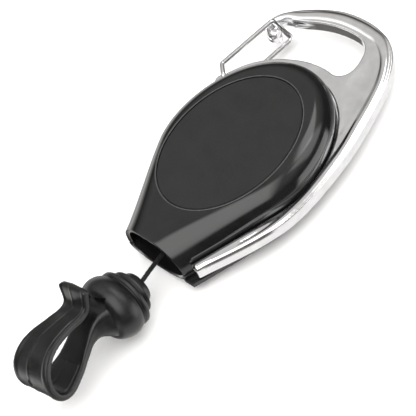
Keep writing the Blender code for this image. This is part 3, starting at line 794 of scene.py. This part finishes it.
# Cutter of the web's hollow: how far its middle line lies above the face, the hollow's least
# depth and what each millimetre of half-width adds, and its middle line and half-width
HOLLOW_RISE = 2.0
HOLLOW_DEPTH = 0.04
HOLLOW_DEEPENS = 0.045
HOLLOW_LINE = [
    (18.6, 17.0, 0.5), (16.6, 23.2, 1.5), (13.8, 28.6, 3.4), (12.3, 33.4, 3.2),
    (11.5, 37.4, 2.2), (10.6, 40.6, 0.6)]


def bar():
    """Rounded bar swept along its middle line."""
    line = smooth_path(BAR_LINE, 7)
    rings = []
    for i, point in enumerate(line):
        centre = Vector((point.x, point.y, FRAME_Z))
        rings.append(oval_ring(centre, level_side(line, i), point.z, FRAME_HALF, 36, 0.9))
    return loft(rings)


def bead():
    """Roll of the casting along the case's taper, fading out at its widest part."""
    side = case_side(BEAD_RADIUS + BEAD_GAP, BEAD_START)
    line = [Vector(p) for p in side if p[1] < BEAD_END]
    rings = []
    for i, point in enumerate(line):
        fade = min((BEAD_END - point.y) / BEAD_FADE, 1.0)
        radius = BEAD_RADIUS * (BEAD_THINNEST + (1 - BEAD_THINNEST) * fade)
        centre = Vector((point.x, point.y, FRAME_Z + BEAD_RISE))
        rings.append(oval_ring(centre, level_side(line, i), radius, radius, 24))
    return loft(rings)


def hollow(top):
    """Cutter of a shallow dish along the web, deepest where the web is widest."""
    line = smooth_path(HOLLOW_LINE, 8)
    rings = []
    for i, point in enumerate(line):
        tall = HOLLOW_RISE + (HOLLOW_DEPTH + HOLLOW_DEEPENS * point.z)
        wide = point.z / math.sqrt(1 - (HOLLOW_RISE / tall) ** 2)
        centre = Vector((point.x, point.y, top + HOLLOW_RISE))
        rings.append(oval_ring(centre, level_side(line, i), wide, tall, 96))
    return loft(rings)


def make_frame(chrome):
    web = plate(frame_outline(), FRAME_Z - WEB_HALF, FRAME_Z + WEB_HALF)
    web = cut(web, [(hollow(FRAME_Z + WEB_HALF), "DIFFERENCE")])
    lug = cylinder(LUG_RADIUS, FRAME_Z - FRAME_HALF, FRAME_Z + FRAME_HALF, LUG_CENTRE, 48)
    rim = tube(smooth_path([(x, y, FRAME_Z) for x, y in RIM_LINE], 8), RIM_RADIUS)
    body = fused([web, bar(), bead(), lug, rim], voxel=0.19, smoothing=8)
    holes = []
    for low, high in ((-FRAME_HALF - 1, -FRAME_HALF + PIVOT_DEPTH),
                      (FRAME_HALF - PIVOT_DEPTH, FRAME_HALF + 1)):
        hole = cylinder(WIRE_RADIUS + PIVOT_GAP, FRAME_Z + low, FRAME_Z + high, GATE_PIVOT, 32)
        holes.append((hole, "DIFFERENCE"))
    add_piece("carabiner_casting", cut(body, holes), chrome, "housing",
              ["carabiner_frame"], sharp=50)


def make_gate(look):
    """One bent wire: a foot on each side of the lug, two legs, and a bar on the nose."""
    knee = (-3.3, 3.1)
    front_tip = (-0.7, 21.5)
    rear_tip = (3.2, 23.0)
    top = FRAME_Z + GATE_LEG_Z
    bottom = FRAME_Z - GATE_LEG_Z
    inside = FRAME_HALF - FOOT_DEPTH
    corners = [
        (0.0, 0.0, FRAME_Z + inside), (0.0, 0.0, top), (*knee, top), (*front_tip, top),
        (*rear_tip, bottom), (0.0, 0.0, bottom), (0.0, 0.0, FRAME_Z - inside)]
    shift = Vector((*GATE_PIVOT, 0.0))
    path = [p + shift for p in rounded_corners(corners, WIRE_BEND)]
    add_piece("gate_wire", tube(path, WIRE_RADIUS, 24), look, "gate", ["wire_gate"])


# ------------------------------------------------------------ cord

def cord_points():
    """Middle line of the cord, from the winding to the knot inside the collar."""
    leave = math.radians(-25.0)
    radius = WINDING_RADIUS + CORD_GAP + CORD_RADIUS
    start = (radius * math.cos(leave), radius * math.sin(leave), CORD_Z)
    return [start, (7.0, -17.6, 7.7), (1.8, -29.0, 7.2), (1.5, -33.0, 7.3), (2.2, -38.4, 7.7),
            (CLIP_TOP[0] - 0.05, CLIP_TOP[1] + 0.4, CLIP_TOP[2]),
            (CLIP_TOP[0] + 0.1, CLIP_TOP[1] - 2.2, CLIP_TOP[2] + 0.48)]


def make_cord(look):
    """Braided cord whose strands stand out as a woven relief."""
    path = smooth_path(cord_points(), 48)
    strand_count = 4
    turn_per_mm = 4.2
    relief = 0.07

    def strands(run, angle):
        first = math.sin(strand_count * angle + run * turn_per_mm)
        second = math.sin(strand_count * angle - run * turn_per_mm)
        return relief * (max(first, second) - 0.25)

    mesh = tube(path, CORD_RADIUS, 28, strands)
    obj = add_piece("cord_braid", mesh, look, None, ["cord_run"])
    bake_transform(obj)


# ------------------------------------------------------------ clip

def clip_matrix():
    """Takes the clip's own (x, -s, h), with s down its axis, to its place under the mouth."""
    return (Matrix.Translation(Vector(CLIP_TOP) * MM) @ Matrix.Rotation(-CLIP_YAW, 4, "Z")
            @ Matrix.Rotation(-CLIP_PITCH, 4, "X") @ Matrix.Rotation(CLIP_ROLL, 4, "Y"))


# Ribbon of the gripping loop: (s, h, width) along its middle, s down the clip's axis and h above it
LOOP_PATH = [
    (9.6, -4.6, 9.0), (13.4, -2.6, 8.0), (18.1, 0.4, 7.4), (22.7, -1.9, 8.3), (26.8, -4.0, 10.3),
    (31.4, -5.3, 12.4), (34.6, -3.9, 13.4), (35.8, -0.6, 13.5), (35.0, 3.1, 13.0),
    (32.6, 5.8, 11.9), (29.0, 7.2, 10.5), (23.7, 7.4, 8.6), (19.6, 7.3, 8.2), (17.2, 8.6, 8.4),
    (16.2, 12.4, 9.8)]
# Section of the ribbon: place across it and share of its thickness
RIBBON_SECTION = [
    (-0.5, 0.45), (-0.485, 0.85), (-0.44, 1.0), (-0.40, 0.98), (-0.36, 0.82), (-0.1, 0.84),
    (-0.055, 0.93), (-0.01, 0.84), (0.36, 0.82), (0.40, 0.98), (0.44, 1.0), (0.485, 0.85),
    (0.5, 0.45)]


def ribbon():
    """Ribbon with a raised rim on both edges and a shallow ridge down its face."""
    line = smooth_path(LOOP_PATH, 10)
    half = RIBBON_THICKNESS / 2
    rings = []
    for i, point in enumerate(line):
        side = level_side(line, i)
        face = [(across, half * share) for across, share in RIBBON_SECTION]
        back = [(across, -half * share) for across, share in RIBBON_SECTION[::-1]]
        ring = []
        for across, lift in face + back:
            ring.append(Vector((across * point.z, -(point.x - side.x * lift),
                                point.y - side.y * lift)))
        rings.append(ring)
    return loft(rounded_end(rings))


def rounded_end(rings):
    """Close the ribbon's free end with a rounded edge and rounded corners."""
    last = rings[-1]
    centre = sum(last, Vector((0, 0, 0))) / len(last)
    before = sum(rings[-2], Vector((0, 0, 0))) / len(last)
    ahead = (centre - before).normalized()
    half_width = max(abs(p.x - centre.x) for p in last)
    made = list(rings)
    for k in range(1, 8):
        a = math.pi / 2 * k / 8
        ring = []
        for p in last:
            along = 1.0 - 0.45 * (abs(p.x - centre.x) / half_width) ** 3
            across = centre + (p - centre) * math.cos(a)
            across.x = centre.x + (p.x - centre.x) * (0.72 + 0.28 * math.cos(a))
            ring.append(across + ahead * 1.5 * math.sin(a) * along)
        made.append(ring)
    return made


def lathe_y(rings, segments=120):
    """Closed skin over (s, radius, lift) circles about the clip's axis."""
    rows = []
    for s, radius, lift in rings:
        row = []
        for k in range(segments):
            a = 2 * math.pi * k / segments
            row.append(Vector((radius * math.cos(a), -s, lift + radius * math.sin(a))))
        rows.append(row)
    return loft(rows)


def bell():
    """Dome of the clip, closed at its lower end."""
    return lathe_y(smooth_path([
        (5.9, 7.35, 0.1), (6.8, 8.2, 0.3), (8.2, 8.7, 0.5), (9.8, 8.7, 0.7),
        (11.3, 8.2, 0.8), (12.5, 7.3, 0.8), (13.1, 5.6, 0.8), (13.3, 3.0, 0.8)], 5))


def bell_ring():
    """Crisp ring round the top of the bell, with the step below it."""
    return lathe_y([(4.1, 7.0, 0.0), (4.22, 7.45, 0.0), (4.5, RING_RADIUS, 0.0),
                    (5.25, RING_RADIUS + 0.08, 0.0), (5.5, RING_RADIUS - 0.1, 0.02),
                    (5.62, 7.35, 0.05), (6.2, 7.2, 0.05)])


# Neck between the dome and the strap: (s, underside, top, width)
NECK = [
    (9.0, -7.4, 5.6, 13.6), (11.5, -6.0, 5.6, 12.2), (13.6, -3.9, 5.2, 10.0),
    (15.4, -2.7, 4.7, 8.7), (17.4, -1.7, 3.8, 8.0), (19.4, -1.8, 2.4, 7.8),
    (21.4, -2.7, 0.7, 8.0), (23.4, -3.7, -0.8, 8.6), (25.6, -4.7, -2.4, 9.6)]


def neck():
    """Thick root of the strap, with a rounded underside and a flat top."""
    line = smooth_path([(s, (low + top) / 2, (top - low) / 2, width / 2)
                        for s, low, top, width in NECK], 5)
    rings = []
    for s, middle, half, wide in line:
        ring = []
        for k in range(40):
            a = 2 * math.pi * k / 40
            blunt = 0.35 if math.sin(a) > 0 else 0.7
            x = math.copysign(abs(math.cos(a)) ** 0.5, math.cos(a)) * wide
            z = math.copysign(abs(math.sin(a)) ** blunt, math.sin(a)) * half
            ring.append(Vector((x, -s, middle + z)))
        rings.append(ring)
    return loft(rings)


def gate_mark():
    """Dimple that the mould's gate leaves on the outside of the loop's bend."""
    bm = bmesh.new()
    bmesh.ops.create_icosphere(bm, subdivisions=4, radius=1.0)
    bmesh.ops.scale(bm, verts=bm.verts, vec=(1.0 * MM, 0.75 * MM, 1.5 * MM))
    bmesh.ops.translate(bm, verts=bm.verts, vec=Vector((-0.7, -37.0, -0.1)) * MM)
    return mesh_of(bm, "gate_mark")


def make_clip(look):
    """Dome, neck and loop as one moulding, blended across the bend where the arm flexes."""
    matrix = clip_matrix()
    pocket = block((8.6, 5.6, 2.8), (0.0, -12.2, 6.0))
    seat = lathe_y([(3.0, 2.2, 0.0), (6.2, 2.2, 0.0)])
    mesh = fused([bell(), neck(), ribbon()], voxel=0.16, smoothing=2)
    mesh = cut(mesh, [(pocket, "DIFFERENCE"), (bell_ring(), "UNION"), (seat, "DIFFERENCE"),
                      (gate_mark(), "DIFFERENCE")])
    mesh.transform(matrix)
    obj = add_piece("clip_moulding", mesh, look, None, ["clip_body", "clip_arm"])
    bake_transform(obj)


def make_collar(look):
    """Stepped ring that the cord passes through, given as (s, radius) corners."""
    bore = CORD_RADIUS + CORD_GAP
    profile = [(0.0, bore), (0.0, 3.6), (0.12, 4.0), (0.45, 4.25), (1.8, 4.45), (2.05, 5.7),
               (2.2, 6.0), (2.45, COLLAR_RADIUS), (2.75, 6.0), (3.0, 5.75), (3.85, 5.5),
               (3.85, 2.4), (1.4, 2.4), (1.4, bore)]
    mesh = turned([(r, -s) for s, r in profile])
    mesh.transform(clip_matrix() @ Matrix.Rotation(math.radians(-90), 4, "X"))
    add_piece("collar_ring", mesh, look, "clip", ["swivel_collar"], sharp=32)


# ------------------------------------------------------------ screws

def make_screws(look):
    profile = [(0.0, 0.35), (1.2, 0.38), (1.62, 0.55), (1.75, 0.85), (1.75, 1.6),
               (1.0, 1.6), (1.0, 10.0), (0.6, 11.0), (0.0, 11.0)]
    for i, (x, y) in enumerate(SCREW_PLACES, 1):
        slots = [(block(size, (0.0, 0.0, 0.5)), "DIFFERENCE")
                 for size in ((2.2, 0.42, 1.1), (0.42, 2.2, 1.1))]
        mesh = cut(turned(profile, 64), slots)
        mesh.transform(Matrix.Translation((x * MM, y * MM, 0)))
        add_piece(f"case_screw_{i}", mesh, look, "housing", [f"shell_screw_{i}"],
                  sharp=35)


def dress_frame_nodes(looks):
    """Better materials for the hidden working parts that stay as they are."""
    for name, look in looks.items():
        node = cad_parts[name]
        node.data.materials.clear()
        node.data.materials.append(look)


# ------------------------------------------------------------ stage

def make_camera():
    camera = bpy.data.cameras.new("camera")
    camera.sensor_width = 36
    camera.lens = CAMERA_LENS
    camera.clip_start = 0.01
    obj = bpy.data.objects.new("camera", camera)
    bpy.context.scene.collection.objects.link(obj)
    obj.location = CAMERA_PLACE
    obj.rotation_euler = [math.radians(turn) for turn in CAMERA_TURN]
    bpy.context.scene.camera = obj


def make_overhead_light():
    """Soft fill from above that the glossy pieces don't mirror."""
    light = bpy.data.lights.new("overhead", "AREA")
    light.shape = "SQUARE"
    light.size = 1.1
    light.energy = 8.0
    obj = bpy.data.objects.new("overhead", light)
    bpy.context.scene.collection.objects.link(obj)
    obj.location = (0.05, 0.02, 0.9)
    obj.rotation_euler = (-obj.location).to_track_quat("-Z", "Y").to_euler()
    obj.visible_glossy = False


# Studio panels: azimuth, elevation, half-width and half-height in degrees, soft edge, and
# brightness, which is negative where a panel darkens
PANELS = [
    (-34.0, 50.0, 22.0, 33.0, 0.14, 2.3),
    (84.0, 56.0, 16.0, 9.0, 0.04, 2.6),
    (50.0, 40.0, 13.0, 17.0, 0.06, 1.7),
    (38.0, -14.0, 21.0, 16.0, 0.05, 2.4),
    (176.0, -12.0, 40.0, 12.0, 0.2, 1.5),
    (-120.0, 58.0, 30.0, 16.0, 0.2, 0.9),
    (-137.0, -50.0, 30.0, 12.0, 0.12, -0.86),
    (-134.0, -29.0, 22.0, 7.0, 0.05, 1.9),
]
# Brightness at the horizon, overhead, and straight below
SKY_LOW = 0.05
SKY_HIGH = 0.58
BOUNCE = 0.95
# Colour channels: tint of the light, and what is added to it
TINTS = [("Red", 1.0, 0.012), ("Green", 0.995, 0.006), ("Blue", 0.985, 0.0)]


def panel_mask(nodes, direction, azimuth, elevation, half_width, half_height, soft):
    """1 inside a rectangle of the sky round a direction, fading at its edges."""
    az = math.radians(azimuth)
    el = math.radians(elevation)
    ahead = (math.cos(az) * math.cos(el), math.sin(az) * math.cos(el), math.sin(el))
    side = (-math.sin(az), math.cos(az), 0.0)
    over = tuple(Vector(ahead).cross(Vector(side)))
    parts = []
    for axis in (ahead, side, over):
        dot = nodes.add("ShaderNodeVectorMath", operation="DOT_PRODUCT")
        nodes.link(direction, dot.inputs[0])
        dot.inputs[1].default_value = axis
        parts.append(dot.outputs["Value"])
    front = nodes.math("MAXIMUM", parts[0], 0.05)
    mask = nodes.spread(parts[0], 0.05, 0.15, 0.0, 1.0)
    for part, half in ((parts[1], half_width), (parts[2], half_height)):
        reach = math.tan(math.radians(half))
        away = nodes.math("ABSOLUTE", nodes.math("DIVIDE", part, front), 0.0)
        mask = nodes.math("MULTIPLY", mask, nodes.spread(away, reach - soft, reach + soft, 1.0, 0.0))
    return mask


def make_world():
    """Pale studio: a soft sky, light from below, and the panels."""
    world = bpy.data.worlds.new("studio")
    world.use_nodes = True
    bpy.context.scene.world = world
    bpy.context.scene.view_settings.view_transform = "Standard"
    nodes = Nodes(world.node_tree)
    background = world.node_tree.nodes["Background"]
    direction = nodes.add("ShaderNodeTexCoord").outputs["Generated"]
    split = nodes.add("ShaderNodeSeparateXYZ")
    nodes.link(direction, split.inputs[0])
    above = nodes.spread(split.outputs["Z"], 0.25, 0.66, SKY_LOW, SKY_HIGH)
    below = nodes.spread(split.outputs["Z"], -0.58, -0.42, BOUNCE, 0.0)
    light = nodes.math("ADD", above, below)
    for azimuth, elevation, half_width, half_height, soft, bright in PANELS:
        mask = panel_mask(nodes, direction, azimuth, elevation, half_width, half_height, soft)
        light = nodes.math("ADD", light, nodes.math("MULTIPLY", mask, bright))
    colour = nodes.add("ShaderNodeCombineColor")
    for channel, tint, warmth in TINTS:
        tinted = nodes.math("MULTIPLY", light, tint)
        nodes.link(nodes.math("ADD", tinted, warmth), colour.inputs[channel])
    nodes.link(colour.outputs["Color"], background.inputs["Color"])
    background.inputs["Strength"].default_value = 1.0


def make_floor():
    bm = bmesh.new()
    bmesh.ops.create_grid(bm, x_segments=1, y_segments=1, size=1.5)
    mesh = mesh_of(bm, "floor")
    made, nodes, shader, coords = material("paper_floor", (0.93, 0.93, 0.93), 0.9)
    cloud = nodes.noise(coords, 30.0, 3.0)
    base = nodes.colours(cloud, [(0.0, (0.92, 0.92, 0.92)), (1.0, (0.94, 0.94, 0.94))])
    nodes.link(base, shader.inputs["Base Color"])
    mesh.materials.append(made)
    obj = bpy.data.objects.new("floor", mesh)
    bpy.context.scene.collection.objects.link(obj)
    obj.location = (0, 0, -0.0004)
    obj.visible_glossy = False


def main():
    make_camera()
    make_world()
    make_floor()
    make_overhead_light()

    gloss = gloss_black()
    satin = satin_black()
    braid = braided_black()
    zinc = plated_steel("zinc_plate", (0.55, 0.55, 0.57), 0.32)
    blued = plated_steel("blued_strip", (0.2, 0.21, 0.24), 0.3)
    natural = acetal()
    make_cord(braid)
    make_case(gloss)
    make_label(label_matte())
    make_label_bead(satin_edge_painted_sheen())
    make_frame(chrome_plate())
    make_gate(bright_wire())
    make_clip(satin)
    make_collar(satin)
    make_screws(zinc)
    dress_frame_nodes({
        "spool": natural, "spring_cover": natural, "cord_guide": satin, "cord_winding": braid,
        "cord_knot": braid, "spool_axle": zinc, "thrust_washer": zinc, "retaining_ring": blued,
        "power_spring": blued})


main()
